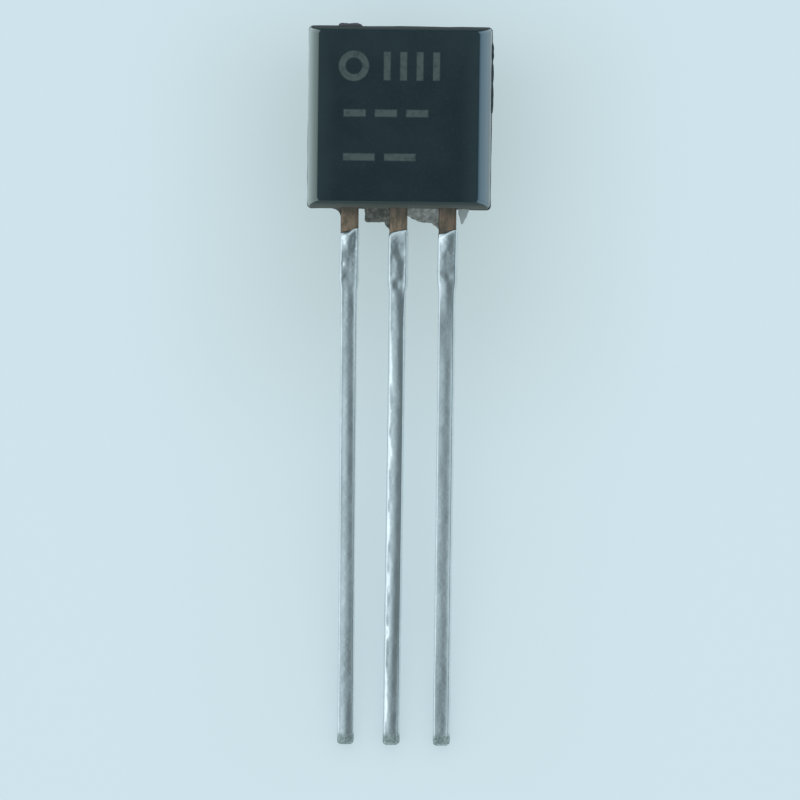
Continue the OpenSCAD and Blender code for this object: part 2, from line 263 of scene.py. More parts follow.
def outline_distance(outline, x, y):
    """Distance from a closed outline of straight lines."""
    x, y = np.broadcast_arrays(x, y)
    best = np.full(x.shape, np.inf)
    inside = np.zeros(x.shape, bool)
    for (ax, ay), (bx, by) in zip(outline, outline[1:] + outline[:1]):
        ex, ey = bx - ax, by - ay
        px, py = x - ax, y - ay
        t = np.clip((px * ex + py * ey) / (ex * ex + ey * ey), 0, 1)
        best = np.minimum(best, np.hypot(px - t * ex, py - t * ey))
        if ay != by:
            inside ^= ((ay > y) != (by > y)) & (px < ex * py / ey)
    return np.where(inside, -best, best)


def plate(outline, x, y, z, middle, thickness, ragged=0.0, seed=0):
    """A flat outline given a thickness, with edges as ragged as asked."""
    flat_x, flat_y = np.broadcast_arrays(x, y)
    flat = np.stack([flat_x, flat_y, np.zeros(flat_x.shape)], axis=-1)
    coarse, fine = lumps(flat, 0.11, seed), lumps(flat, 0.05, seed + 1)
    edge = outline_distance(outline, x, y) + ragged * (coarse + 0.5 * fine)
    half = thickness / 2 * (1 + 4 * ragged * (fine + coarse))
    return rounded_meet(edge, np.abs(z - middle) - half, min(FLASH_ROUND, thickness / 3))


def side_flash_outline():
    start = BODY_R + PARTING_PROUD
    foot = BODY_H - SIDE_FLASH_DROP - SIDE_FLASH_LEN
    shares = [
        (0, -1), (0, 0.2), (0.1, 0.8), (0.32, 1), (0.42, 0.4), (0.52, 1),
        (0.66, 0.9), (0.72, 0.1), (0.8, 0.9), (0.94, 0.8), (1, 0.1), (1, -1),
    ]
    return [(start + out * SIDE_FLASH_PROUD, foot + up * SIDE_FLASH_LEN) for up, out in shares]


def gate_outline():
    half = GATE_W / 2
    shares = [(-1, 0), (-0.9, 0.7), (-0.7, 1), (-0.1, 0.86), (0.55, 0.95), (0.9, 0.6), (1, 0)]
    edge = [(-GATE_OFFSET + across * half, BODY_H + up * GATE_H) for across, up in shares]
    return [(-GATE_OFFSET - half, BODY_H - MERGE), *edge, (-GATE_OFFSET + half, BODY_H - MERGE)]


def web_outline():
    far = -LEAD_PITCH + ROOT_HALF + WEB_GAP
    near = -ROOT_HALF
    heel = -WEB_DROP - WEB_HEEL
    return [
        (far, MERGE),
        (far + 0.05 * WEB_DROP, -0.85 * WEB_DROP),
        (far + 0.2 * WEB_DROP, -0.98 * WEB_DROP),
        (near - 0.7 * WEB_HEEL, -WEB_DROP),
        (near, heel),
        (near / 2, heel),
        (near / 2, MERGE),
    ]


def film_outline():
    near, far, into = ROOT_HALF, LEAD_PITCH - ROOT_HALF, ROOT_HALF / 2
    return [
        (near - into, MERGE),
        (near - into, -0.5 * FILM_DROP),
        (near + 0.15 * FILM_DROP, -0.55 * FILM_DROP),
        (near + 0.65 * FILM_DROP, -0.88 * FILM_DROP),
        (far - 0.5 * FILM_DROP, -FILM_DROP),
        (far, -1.4 * FILM_DROP),
        (far + into, -1.4 * FILM_DROP),
        (far + into, MERGE),
    ]


def flake_outline():
    start = LEAD_PITCH + ROOT_HALF + FLAKE_GAP
    shares = [(0.05, -0.3), (0.25, -1), (0.5, -0.95), (1, -0.15)]
    edge = [(start + across * FLAKE_W, down * FLAKE_DROP) for across, down in shares]
    return [(start, MERGE), *edge, (start + FLAKE_W, MERGE)]


def fillet_outline():
    side = -LEAD_PITCH - ROOT_HALF
    into = side + ROOT_HALF / 2
    rim = 0.06 * ROOT_FILLET
    curve = []
    for turn in np.linspace(0, math.pi / 2, 7):
        out, down = 1 - math.sin(turn), 1 - math.cos(turn)
        curve.append((side - ROOT_FILLET * out - rim, -ROOT_FILLET * down - rim))
    return [(into, MERGE), (side - ROOT_FILLET, MERGE), *curve, (into, -ROOT_FILLET - rim)]


def parting_plate(x, y, z):
    """The line of resin all round the lead plane, standing out unevenly."""
    flat_x, flat_y = np.broadcast_arrays(x, y)
    flat = np.stack([flat_x, flat_y, np.zeros(flat_x.shape)], axis=-1)
    proud = PARTING_PROUD * (0.6 + 0.4 * lumps(flat, 0.4, 11))
    across = np.abs(x) - BODY_R - proud
    along = np.maximum(-y, y - BODY_H) - proud
    sheet = rounded_meet(across, along, RIM_ROUND)
    return rounded_meet(sheet, np.abs(z) - PARTING_T / 2, PARTING_ROUND)


def half_moulds(x, y, z):
    """The moulding without its flash: a round bar with drafted ends and a flat front."""
    draft = np.where(z > 0, FRONT_DRAFT, BACK_DRAFT)
    depth = np.abs(z) * np.sin(draft)
    ends = depth + np.maximum(-y, y - BODY_H) * np.cos(draft)
    bar = rounded_meet(np.hypot(x, z) - BODY_R, ends, RIM_ROUND)
    bar = rounded_meet(bar, z - FLAT_DEPTH, EDGE_ROUND)
    pin = np.maximum(np.hypot(x, y - BODY_H / 2) - EJECTOR_R, z + BODY_R - EJECTOR_DEPTH)
    return rounded_meet(bar, -pin, EJECTOR_ROUND)


def side_flash(x, y, z):
    return plate(side_flash_outline(), x, y, z, 0, PARTING_T, ragged=0.004, seed=31)


def flash_parts(x, y, z):
    """Each scrap of resin outside the moulds, thick ones first and thin ones last."""
    thin = LEAD_T / 2 - FILM_INSET - FILM_T / 2
    return [
        plate(gate_outline(), x, y, z, 0, GATE_T, ragged=0.012, seed=21),
        plate(fillet_outline(), x, y, z, 0, WEB_T, ragged=0.006, seed=23),
        plate(web_outline(), x, y, z, 0, WEB_T, ragged=0.014, seed=25),
        plate(film_outline(), x, y, z, thin, FILM_T, ragged=0.016, seed=27),
        plate(flake_outline(), x, y, z, thin, FILM_T, ragged=0.014, seed=29),
    ]


def moulding(x, y, z):
    whole = half_moulds(x, y, z)
    whole = np.minimum(whole, parting_plate(x, y, z))
    whole = np.minimum(whole, side_flash(x, y, z))
    for part in flash_parts(x, y, z):
        whole = rounded_join(whole, part, FLASH_FILLET)
    return whole


# Meshes

def grid_lines(*stretches):
    """Grid lines along one axis. Each stretch is (start, end, step)."""
    runs = [np.linspace(start, end, round((end - start) / step) + 1) for start, end, step in stretches]
    return np.unique(np.round(np.concatenate(runs), 6))


def surface_net(field, lines):
    """The surface where the field is zero, with a point in each grid cell that it crosses and a face
    across each grid edge that it cuts."""
    xs, ys, zs = lines
    values = field(xs[:, None, None], ys[None, :, None], zs[None, None, :])
    cells = tuple(n - 1 for n in values.shape)
    total = np.zeros((*cells, 3))
    count = np.zeros(cells, int)
    cuts = []
    for axis in range(3):
        rest = [i for i in range(3) if i != axis]
        f = np.moveaxis(values, axis, 0)
        cut = (f[:-1] < 0) != (f[1:] < 0)
        share = f[:-1] / np.where(cut, f[:-1] - f[1:], 1)
        line = lines[axis]
        along = line[:-1, None, None] + share * np.diff(line)[:, None, None]
        turned_total = np.moveaxis(total, axis, 0)
        turned_count = np.moveaxis(count, axis, 0)
        spans = [len(lines[i]) - 1 for i in rest]
        for da, db in np.ndindex(2, 2):
            part = (slice(None), slice(da, da + spans[0]), slice(db, db + spans[1]))
            hit = cut[part]
            turned_total[..., axis] += np.where(hit, along[part], 0)
            turned_total[..., rest[0]] += hit * lines[rest[0]][da:da + spans[0]][None, :, None]
            turned_total[..., rest[1]] += hit * lines[rest[1]][db:db + spans[1]][None, None, :]
            turned_count += hit
        cuts.append((cut, f[:-1] < 0))
    used = count > 0
    points = total[used] / count[used][:, None]
    index = np.full(cells, -1)
    index[used] = np.arange(len(points))
    quads = []
    for axis, (cut, outward) in enumerate(cuts):
        turned = np.moveaxis(index, axis, 0)
        i, j, k = np.nonzero(cut)
        corners = ((j - 1, k - 1), (j, k - 1), (j, k), (j - 1, k))
        quad = np.stack([turned[i, a, b] for a, b in corners], axis=1)
        keep = outward[i, j, k] == (axis != 1)
        quads.append(np.where(keep[:, None], quad, quad[:, ::-1]))
    return points, np.concatenate(quads)


def settle(field, points, passes=3, reach=0.012):
    """Moves points on to the surface, each pass by no more than reach."""
    step = 0.001
    for _ in range(passes):
        value = field(*points.T)
        slope = np.stack([(field(*(points + step * e).T) - value) / step for e in np.eye(3)], axis=1)
        move = (value / np.maximum((slope ** 2).sum(1), 0.2))[:, None] * slope
        length = np.linalg.norm(move, axis=1, keepdims=True)
        points = points - move * np.minimum(1, reach / np.maximum(length, 1e-9))
    return points


def piece(name, points, faces, material, replaced):
    """A smooth-shaded mesh from drawing points, riding on the part in place of a CAD node."""
    places = to_world(points)
    low, high = np.array(cad_box[0]), np.array(cad_box[1])
    places = np.clip(places, low, high)
    mesh = bpy.data.meshes.new(name)
    mesh.from_pydata(places.tolist(), [], faces.tolist() if hasattr(faces, "tolist") else faces)
    mesh.polygons.foreach_set("use_smooth", np.ones(len(mesh.polygons), bool))
    mesh.update()
    made = bpy.data.objects.new(name, mesh)
    bpy.context.scene.collection.objects.link(made)
    mesh.materials.append(material)
    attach(made, "root")
    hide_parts(replaced)
    return made


def write_share(made, name, distance, fade, outside):
    """A number at each point for the material: 1 in the shape, 0 once fade away from it, and 0 inside
    the half moulds."""
    share = np.clip(1 - distance / fade, 0, 1) * outside
    values = made.data.attributes.new(name, "FLOAT", "POINT").data
    values.foreach_set("value", np.asarray(share, np.float32))


def build_body(*finishes):
    """The moulding. Its finishes are those of the flat face, of the round sides and of the ends."""
    lines = (
        grid_lines((-2.46, -1.9, 0.03), (-1.9, 1.9, 0.035), (1.9, 2.5, 0.025)),
        grid_lines((-0.7, 0.18, 0.022), (0.18, 2.4, 0.055), (2.4, 4.4, 0.04), (4.4, 4.84, 0.022)),
        grid_lines((-2.44, -0.2, 0.05), (-0.2, 0.2, 0.0125), (0.2, 1.0, 0.05), (1.0, 1.18, 0.02)),
    )
    points, quads = surface_net(moulding, lines)
    points = settle(moulding, points)
    made = piece("resin_moulding", points, quads, finishes[0], "moulded_body")
    for finish in finishes[1:]:
        made.data.materials.append(finish)
    x, y, z = points.T
    gate, fillet, web, film, flake = flash_parts(x, y, z)
    solid = half_moulds(x, y, z)
    thin = np.minimum(film, flake)
    line = np.minimum(parting_plate(x, y, z), side_flash(x, y, z))
    write_share(made, "parting_rim", line, 0.01, solid > 0.006)
    write_share(made, "thin_flash", thin, 0.03, solid > 0.01)
    write_share(made, "thick_flash", np.minimum(web, fillet), 0.03, solid > 0.01)
    write_share(made, "broken_gate", gate, 0.03, solid > 0.02)
    draft = np.where(z > 0, FRONT_DRAFT, BACK_DRAFT)
    end_in = np.minimum(y, BODY_H - y) - np.abs(z) * np.sin(draft)
    on_end = end_in < RIM_ROUND / 4
    on_round = (z < FLAT_DEPTH - EDGE_ROUND / 4) & ~on_end & (np.abs(z) > PARTING_T / 2)
    finish = np.where(on_end, 2, on_round)
    made.data.polygons.foreach_set("material_index", finish[quads].min(1).astype(np.int32))
    return made


def strip_outline(x, shift):
    """A lead below the seating plane, down one side and up the other; shift moves its tip."""
    half = LEAD_W / 2
    tip, step = x + shift, x - shift * SHOULDER_Y / LEAD_LEN
    edges = [
        [
            (x + side * ROOT_HALF, 0),
            (step + side * ROOT_HALF, SHOULDER_Y),
            (step + side * half, SHOULDER_Y - SHOULDER_OUT),
            (tip + side * half, -LEAD_LEN + TIP_CUT),
            (tip + side * half - side * TIP_CUT, -LEAD_LEN),
        ]
        for side in (-1, 1)
    ]
    return edges[0] + edges[1][::-1]


def outer_lead_outline(shift):
    """An outer lead on the +x side with its bonding post; shift moves its tip outwards."""
    inner, outer = PAD_W / 2 + POST_GAP, LEAD_PITCH + ROOT_HALF + POST_WING
    top = POST_Y + POST_H
    post = [
        (LEAD_PITCH + ROOT_HALF, POST_Y),
        (outer, POST_Y + STAMP_CUT),
        (outer, top - STAMP_CUT),
        (outer - STAMP_CUT, top),
        (inner, top),
        (inner, POST_Y + 3 * STAMP_CUT),
        (LEAD_PITCH - ROOT_HALF, POST_Y),
    ]
    return strip_outline(LEAD_PITCH, shift) + post


def middle_lead_outline(shift):
    """The collector lead with its die pad; shift moves its tip."""
    half, high = PAD_W / 2, PAD_Y + PAD_H
    right = [
        (ROOT_HALF, PAD_Y - STAMP_CUT),
        (half - STAMP_CUT, PAD_Y),
        (half, PAD_Y + STAMP_CUT),
        (half, high - STAMP_CUT),
        (half - STAMP_CUT, high),
    ]
    return strip_outline(0, shift) + right + [(-x, y) for x, y in right[::-1]]


def build_lead(name, node, outline, notches, side, material):
    """A stamped strip with rolled edges; side is -1 for an outline to be mirrored."""
    def strip(x, y, z):
        flat = outline_distance(outline, side * x, y)
        for notch_x, notch_y in notches:
            flat = np.maximum(flat, NOTCH_R - np.hypot(side * x - notch_x, y - notch_y))
        return rounded_meet(flat, np.abs(z) - LEAD_T / 2, LEAD_ROUND) + LEAD_INSET

    across = sorted(side * x for x, _ in outline)
    edge = LEAD_T / 2
    tip = -LEAD_LEN
    lines = (
        grid_lines((across[0] - 0.06, across[-1] + 0.06, 0.024)),
        grid_lines(
            (tip - 0.04, tip + 0.2, 0.02),
            (tip + 0.2, -0.8, 0.12),
            (-0.8, 0.1, 0.02),
            (0.1, 3.2, 0.04),
        ),
        grid_lines(
            (-edge - 0.02, -edge + 0.06, 0.02),
            (-edge + 0.06, edge - 0.06, 0.04),
            (edge - 0.06, edge + 0.02, 0.02),
        ),
    )
    points, quads = surface_net(strip, lines)
    return piece(name, settle(strip, points), quads, material, node)


def lead_section(count):
    """Points round a lead's section, closer together round its corners, with their outward directions."""
    half_w, half_t, r = LEAD_W / 2, LEAD_T / 2, COAT_ROUND
    flat_w, flat_t = half_w - r, half_t - r
    arc = r * math.pi / 2
    spans = [2 * flat_t, 2 * arc, 2 * flat_w, 2 * arc] * 2
    ends = np.cumsum(spans)
    points, normals = [], []
    for s in np.arange(count) / count * ends[-1]:
        side = int(np.searchsorted(ends, s, side="right"))
        done = (s - (ends[side] - spans[side])) / spans[side]
        quarter = side // 2 * math.pi / 2
        turn = quarter if side % 2 == 0 else quarter + done * math.pi / 2
        normal = (math.cos(turn), math.sin(turn))
        if side % 2 == 0:
            run = (2 * done - 1) * spans[side] / 2
            out = half_w if side // 2 % 2 == 0 else half_t
            point = (out * normal[0] - run * normal[1], out * normal[1] + run * normal[0])
        else:
            corner_x = flat_w * (1 if side in (1, 7) else -1)
            corner_z = flat_t * (1 if side in (1, 3) else -1)
            point = (corner_x + r * normal[0], corner_z + r * normal[1])
        points.append(point)
        normals.append(normal)
    return np.array(points), np.array(normals)


def build_coat(name, node, x, lean, seed, shape, blobs, material):
    """Hot-dipped tin round one lead. Each row of shape holds a place down the lead in millimetres, then
    the tin's thickness in microns at five places from left to right over the face and on the left and
    right edges, then its roughness and the height of its beads. Each blob is (down, across, reach,
    height)."""
    count, rows = 96, 640
    section, normals = lead_section(count)
    across, deep = section[:, 0] / (LEAD_W / 2), section[:, 1] / (LEAD_T / 2)
    ragged = lumps(np.column_stack([section, np.full(count, seed * 3.1)]), 0.13, seed)
    top = -COAT_DROP + COAT_SLANT * (across + 1) / 2 + COAT_RAGGED * ragged - COAT_SINK
    v = np.linspace(0, 1, rows)[:, None]
    y = top[None, :] + (-LEAD_LEN - top[None, :]) * v
    widen = np.clip((y - SHOULDER_Y + COLLAR_FADE) / (COLLAR_FADE - 0.06), 0, 1)
    widen = 1 + (ROOT_HALF / (LEAD_W / 2) - 1) * widen ** 2 * (3 - 2 * widen)
    base = np.stack([section[:, 0] * widen, y, np.broadcast_to(section[:, 1], y.shape)], axis=-1)
    below_top = top[None, :] - y
    above_tip = y + LEAD_LEN
    collar = np.clip((y - SHOULDER_Y + COLLAR_FADE) / COLLAR_FADE, 0, 1)
    down, *profiles = np.array(shape).T
    profiles = [np.interp(-y, down, values) for values in profiles]
    to_curve = np.linalg.inv(np.vander(np.linspace(-1, 1, 5), 5))
    curves = np.einsum("pi,iyx->pyx", to_curve, profiles[:5])
    face = np.einsum("pyx,xp->yx", curves, np.vander(across, 5)) * MICRON
    left, right, rough, beads = profiles[5:]
    edge = np.where(normals[:, 0] < 0, left, right) * MICRON
    film = COAT_CORNER_T + (face - COAT_CORNER_T) * normals[:, 1] ** 2
    film = film + (edge - COAT_CORNER_T) * (1 - deep ** 2) * normals[:, 0] ** 2
    bead_line = np.exp(-(((across - BEAD_ACROSS) / BEAD_SPREAD) ** 2))
    wave = (
        LONG_WAVE * lumps(base * (1, 0.3, 1), 0.3, seed + 1) * (0.25 + 0.75 * rough)
        + SHORT_WAVE * lumps(base * (1, 0.6, 1), 0.15, seed + 2) * rough
        + FINE_WAVE * lumps(base, 0.07, seed + 3) * rough
        + 1.5 * beads * lumps(base * (1, 0.8, 1), 0.22, seed + 4) * bead_line
    )
    bumps = np.zeros(y.shape)
    for low, side, reach, height in blobs:
        off = (base + (-side, low, -LEAD_T / 2)) * (1.3, 1, 0.6)
        bumps += height * np.exp(-(off ** 2).sum(-1) / reach ** 2)
    thick = film + collar * 0.6 * COLLAR_T + wave + bumps
    thick = np.clip(thick, COAT_LEAST_T, COAT_MOST_T)
    lip = np.clip(below_top / COAT_LIP, 0, 1)
    thick = thick * (1 - (1 - lip) ** 2) + COAT_RIM_T
    outer = base + thick[..., None] * np.stack([normals[:, 0], np.zeros(count), normals[:, 1]], axis=-1)
    cut = np.clip(1 - above_tip / TIP_CUT, 0, 1)
    draw_in = 1 - cut[..., None] ** 2 * TIP_DRAW
    outer = outer * draw_in
    core_share = np.array([1 - 2 * CORE_IN / LEAD_W, 1, 1 - 2 * CORE_IN / LEAD_T])
    inner_top = base[0] * core_share - (0, 0.02, 0)
    inner_tip = base[-1] * core_share * draw_in[-1] + (0, 0.03, 0)
    rings = np.concatenate([inner_top[None], outer, inner_tip[None]])
    total = len(rings)
    ring, step = np.meshgrid(np.arange(total), np.arange(count), indexing="ij")
    here = ring * count + step
    beside = ring * count + (step + 1) % count
    after = (here + count) % (total * count)
    after_beside = (beside + count) % (total * count)
    faces = np.stack([here, beside, after_beside, after], axis=-1).reshape(-1, 4)
    points = rings.reshape(-1, 3)
    cos, sin = math.cos(lean), math.sin(lean)
    points = np.column_stack([
        x + points[:, 0] * cos - points[:, 1] * sin,
        points[:, 0] * sin + points[:, 1] * cos,
        points[:, 2],
    ])
    return piece(name, points, faces, material, node)


# Materials

def put(tree, kind, settings=None, **inputs):
    """Adds a node. Inputs are given by name, or as i0, i1 and so on, and may be values or sockets."""
    node = tree.nodes.new("ShaderNode" + kind)
    for key, value in (settings or {}).items():
        setattr(node, key, value)
    for key, value in inputs.items():
        name = key.replace("_", " ")
        socket = node.inputs[int(key[1:])] if key[0] == "i" and key[1:].isdigit() else node.inputs[name]
        if isinstance(value, bpy.types.NodeSocket):
            tree.links.new(value, socket)
        else:
            socket.default_value = value
    return node


def math_of(tree, operation, a, b=0.0):
    return put(tree, "Math", {"operation": operation}, i0=a, i1=b).outputs[0]


def vector_math(tree, operation, a, b=(0, 0, 0)):
    return put(tree, "VectorMath", {"operation": operation}, i0=a, i1=b)


def blend_colours(tree, share, a, b):
    node = put(tree, "Mix", {"data_type": "RGBA"}, i0=share, i6=a, i7=b)
    return node.outputs[2]


def ramp(tree, value, low, high, out_low=0.0, out_high=1.0):
    """Turns a value from low to high into a smooth change from out_low to out_high."""
    ends = {"From_Min": low, "From_Max": high, "To_Min": out_low, "To_Max": out_high}
    return put(tree, "MapRange", {"interpolation_type": "SMOOTHSTEP"}, Value=value, **ends).outputs[0]


def two_tone(tree, value, low, high, colours):
    """The first colour up to low and the second from high on, with a smooth change between."""
    return blend_colours(tree, ramp(tree, value, low, high), tint(*colours[0]), tint(*colours[1]))


def grain(tree, where, scale, detail=2.0, roughness=0.5):
    look = {"Scale": scale, "Detail": detail, "Roughness": roughness}
    return put(tree, "TexNoise", Vector=where, **look).outputs[0]


def own_place(tree):
    """Millimetres in the part's own drawing, at each point of a piece."""
    shift = -(drawing_axes.T @ seat)
    place = put(tree, "TexCoord").outputs["Object"]
    turned = {"Scale": (1 / MM,) * 3, "Rotation": (-tilt, 0, 0), "Location": tuple(shift)}
    return put(tree, "Mapping", Vector=place, **turned).outputs[0]


def new_material(name):
    made = bpy.data.materials.new(name)
    made.use_nodes = True
    tree = made.node_tree
    shader = tree.nodes["Principled BSDF"]
    return made, tree, shader


def bump(tree, shader, height, strength, distance):
    made = put(tree, "Bump", Height=height, Strength=strength, Distance=distance)
    tree.links.new(made.outputs[0], shader.inputs["Normal"])


def tint(r, g, b):
    return (r, g, b, 1)


def feed(tree, shader, **sockets):
    for name, value in sockets.items():
        socket = shader.inputs[name.replace("_", " ")]
        if isinstance(value, bpy.types.NodeSocket):
            tree.links.new(value, socket)
        else:
            socket.default_value = value


def block_mask(tree, place, middle, half):
    """1 inside a block on the flat face, 0 outside it."""
    off = vector_math(tree, "SUBTRACT", place, (*middle, 0)).outputs[0]
    size = vector_math(tree, "ABSOLUTE", off).outputs[0]
    edge = vector_math(tree, "SUBTRACT", size, (*half, 0)).outputs[0]
    x, y, _ = put(tree, "SeparateXYZ", Vector=edge).outputs
    return ramp(tree, math_of(tree, "MAXIMUM", x, y), MARK_BLUR, -MARK_BLUR)


def ring_mask(tree, place, middle, radius, width):
    """1 on a ring on the flat face, 0 off it."""
    off = vector_math(tree, "SUBTRACT", place, (*middle, 0)).outputs[0]
    flat = vector_math(tree, "MULTIPLY", off, (1, 1, 0)).outputs[0]
    far = vector_math(tree, "LENGTH", flat).outputs[1]
    aside = math_of(tree, "ABSOLUTE", math_of(tree, "SUBTRACT", far, radius))
    return ramp(tree, aside, width / 2 + MARK_BLUR, width / 2 - MARK_BLUR)


def plain_marks(tree, place):
    """Plain laser marks on the flat face: a ring, then rows of blocks."""
    masks = [ring_mask(tree, place, *MARK_RING)]
    for (start, height), step, count, half in MARK_ROWS:
        masks += [block_mask(tree, place, (start + step * i, height), half) for i in range(count)]
    total = masks[0]
    for mask in masks[1:]:
        total = math_of(tree, "MAXIMUM", total, mask)
    z = put(tree, "SeparateXYZ", Vector=place).outputs[2]
    return math_of(tree, "MULTIPLY", total, ramp(tree, z, FLAT_DEPTH - 0.02, FLAT_DEPTH - 0.005))


def resin_material(name, gloss, rough_low, rough_high, kind):
    """Dark epoxy with its flash and marks, and painted reflections, light and shade on the front half of
    the sides and ends. Gloss is its index of refraction; kind is face, side or end.
    """
    made, tree, shader = new_material(name)
    place = own_place(tree)
    x, y, z = put(tree, "SeparateXYZ", Vector=place).outputs
    clouds = grain(tree, place, 0.9, 3.0)
    speckle = grain(tree, place, 14.0, 3.0, 0.6)
    colour = two_tone(tree, clouds, 0.35, 0.65, RESIN)
    # The resin turns paler towards the sides and the top.
    sides = ramp(tree, math_of(tree, "ABSOLUTE", x), 1.5, 2.05)
    paler_share = math_of(tree, "MAXIMUM", sides, ramp(tree, y, 3.1, 4.5, 0, 0.5))
    paler_share = math_of(tree, "MULTIPLY", paler_share, 0.5)
    colour = blend_colours(tree, paler_share, colour, tint(*RESIN_PALE_TONE))
    specks = ramp(tree, speckle, 0.45, 0.75, 0, 0.4)
    colour = blend_colours(tree, specks, colour, tint(*RESIN_SPECK))
    plain = colour
    # Painted reflections: the round sides take the tints of what they reflect, and the right's outer edge
    # gets painted shade.
    if kind == "side":
        left = two_tone(tree, x, -2.12, -2.3, LEFT_SIDE_PAINTED_REFLECTION)
        right = two_tone(tree, x, 2.05, 2.22, RIGHT_SIDE_PAINTED_REFLECTION)
        right = blend_colours(tree, ramp(tree, x, 2.26, 2.33), right, tint(*RIGHT_EDGE_PAINTED_SHADE))
        colour = blend_colours(tree, ramp(tree, x, -1.5, 1.5), left, right)
    # Painted light and shade on the ends: the lower end paler than the upper, both paler towards the
    # parting line.
    if kind == "end":
        lower_end_painted_light = two_tone(tree, z, 1.1, 0.15, LOWER_END_PAINTED_LIGHT)
        upper_end_painted_shade = two_tone(tree, z, 1.1, 0.15, UPPER_END_PAINTED_SHADE)
        colour = blend_colours(tree, ramp(tree, y, 1, 3), lower_end_painted_light, upper_end_painted_shade)
    # The painted tints on the sides and ends fade to plain resin over the back half.
    colour = blend_colours(tree, ramp(tree, z, 0.0, -0.5), colour, plain)
    marks = plain_marks(tree, place)
    worn = ramp(tree, grain(tree, place, 6.0, 4.0, 0.65), 0.25, 0.55, 0.45, 1.0)
    marks = math_of(tree, "MULTIPLY", marks, worn)
    colour = blend_colours(tree, marks, colour, tint(*MARKS))
    scraps = grain(tree, place, 9.0, 4.0, 0.65)
    web = two_tone(tree, scraps, 0.4, 0.65, WEB)
    # Painted light: the thin flash turns paler close under the body, against the body's shade.
    dark_film_painted_light = two_tone(tree, y, -0.3, -0.08, FILM_DARK_PAINTED_LIGHT)
    pale_film_painted_light = two_tone(tree, y, -0.3, -0.08, FILM_PALE_PAINTED_LIGHT)
    film = blend_colours(tree, ramp(tree, scraps, 0.34, 0.66), dark_film_painted_light, pale_film_painted_light)
    film = blend_colours(tree, ramp(tree, x, 1.45, 1.6), film, tint(*FLAKE))
    # Painted light: the parting line turns paler at the far left, partly its own pale flash and partly
    # painted light.
    edge = two_tone(tree, x, -2.25, -2.35, PARTING_WITH_PAINTED_LIGHT)
    flash = {"parting_rim": edge, "thick_flash": web, "thin_flash": film, "broken_gate": tint(*GATE)}
    for attribute, shown in flash.items():
        share = put(tree, "Attribute", {"attribute_name": attribute}).outputs["Fac"]
        colour = blend_colours(tree, share, colour, shown)
    rough = ramp(tree, speckle, 0.3, 0.7, rough_low, rough_high)
    feed(tree, shader, Base_Color=colour, Roughness=rough, IOR=gloss)
    cut_in = math_of(tree, "MULTIPLY", marks, -0.6)
    texture = math_of(tree, "ADD", grain(tree, place, 26.0), cut_in)
    bump(tree, shader, texture, 0.35, 0.004 * MM)
    return made


def tin_material():
    """Bright tin, duller where the tips were cut."""
    made, tree, shader = new_material("tin")
    place = own_place(tree)
    clouds = grain(tree, place, 2.4, 3.0, 0.6)
    fine = grain(tree, place, 20.0, 3.0, 0.6)
    y = put(tree, "SeparateXYZ", Vector=place).outputs[1]
    ragged = math_of(tree, "ADD", y, math_of(tree, "MULTIPLY", clouds, 0.12))
    tip = ramp(tree, ragged, -LEAD_LEN + 0.42, -LEAD_LEN + 0.26)
    colour = two_tone(tree, clouds, 0.35, 0.7, TIN)
    colour = blend_colours(tree, tip, colour, two_tone(tree, fine, 0.4, 0.6, DULL_TIN))
    rough = ramp(tree, clouds, 0.35, 0.7, 0.2, 0.16)
    rough = math_of(tree, "ADD", rough, math_of(tree, "MULTIPLY", tip, 0.25))
    feed(tree, shader, Base_Color=colour, Roughness=rough, Metallic=1.0)
    bump(tree, shader, fine, 0.25, 0.006 * MM)
    return made


def copper_material():
    """Stained copper, darker on the base lead and close under the body."""
    made, tree, shader = new_material("oxidised_copper")
    place = own_place(tree)
    stretched = put(tree, "Mapping", Vector=place, Scale=(1.6, 0.7, 1.6)).outputs[0]
    stain = grain(tree, stretched, 4.5, 4.0, 0.65)
    colour = two_tone(tree, stain, 0.36, 0.62, COPPER)
    x, y, _ = put(tree, "SeparateXYZ", Vector=place).outputs
    colour = blend_colours(tree, ramp(tree, x, 0.6, 0.9, 0, 0.2), colour, tint(*COPPER_BASE_SHADE))
    colour = blend_colours(tree, ramp(tree, y, -0.3, 0.0, 0, 0.55), colour, tint(*COPPER_TOP_SHADE))
    rough = ramp(tree, stain, 0.3, 0.7, 0.55, 0.38)
    feed(tree, shader, Base_Color=colour, Roughness=rough, Metallic=0.75)
    bump(tree, shader, grain(tree, stretched, 16.0), 0.3, 0.006 * MM)
    return made


def inner_material(name, colours, metallic, roughness):
    """Finish of a piece sealed in the body."""
    made, tree, shader = new_material(name)
    cloud = grain(tree, own_place(tree), 8.0, 3.0)
    colour = blend_colours(tree, cloud, tint(*colours[0]), tint(*colours[1]))
    feed(tree, shader, Base_Color=colour, Metallic=metallic, Roughness=roughness)
    return made


def dress_nodes():
    """Materials for the CAD solids that the scene keeps."""
    silicon = inner_material("silicon", SILICON, 0.0, 0.2)
    bond = inner_material("bond_layer", BOND, 0.6, 0.5)
    gold = inner_material("gold", GOLD, 1.0, 0.25)
    finishes = {"silicon_die": silicon, "die_bond": bond, "emitter_wire": gold, "base_wire": gold}
    for name, material in finishes.items():
        node = frame["nodes"][name]
        node.data.materials.clear()
        node.data.materials.append(material)


# Stage

def shown_rays(tree):
    """1 for the rays that show the background: from the camera, off a shine or through clear things."""
    path = put(tree, "LightPath").outputs
    shown = math_of(tree, "MAXIMUM", path["Is Camera Ray"], path["Is Glossy Ray"])
    return math_of(tree, "MAXIMUM", shown, path["Is Transmission Ray"])


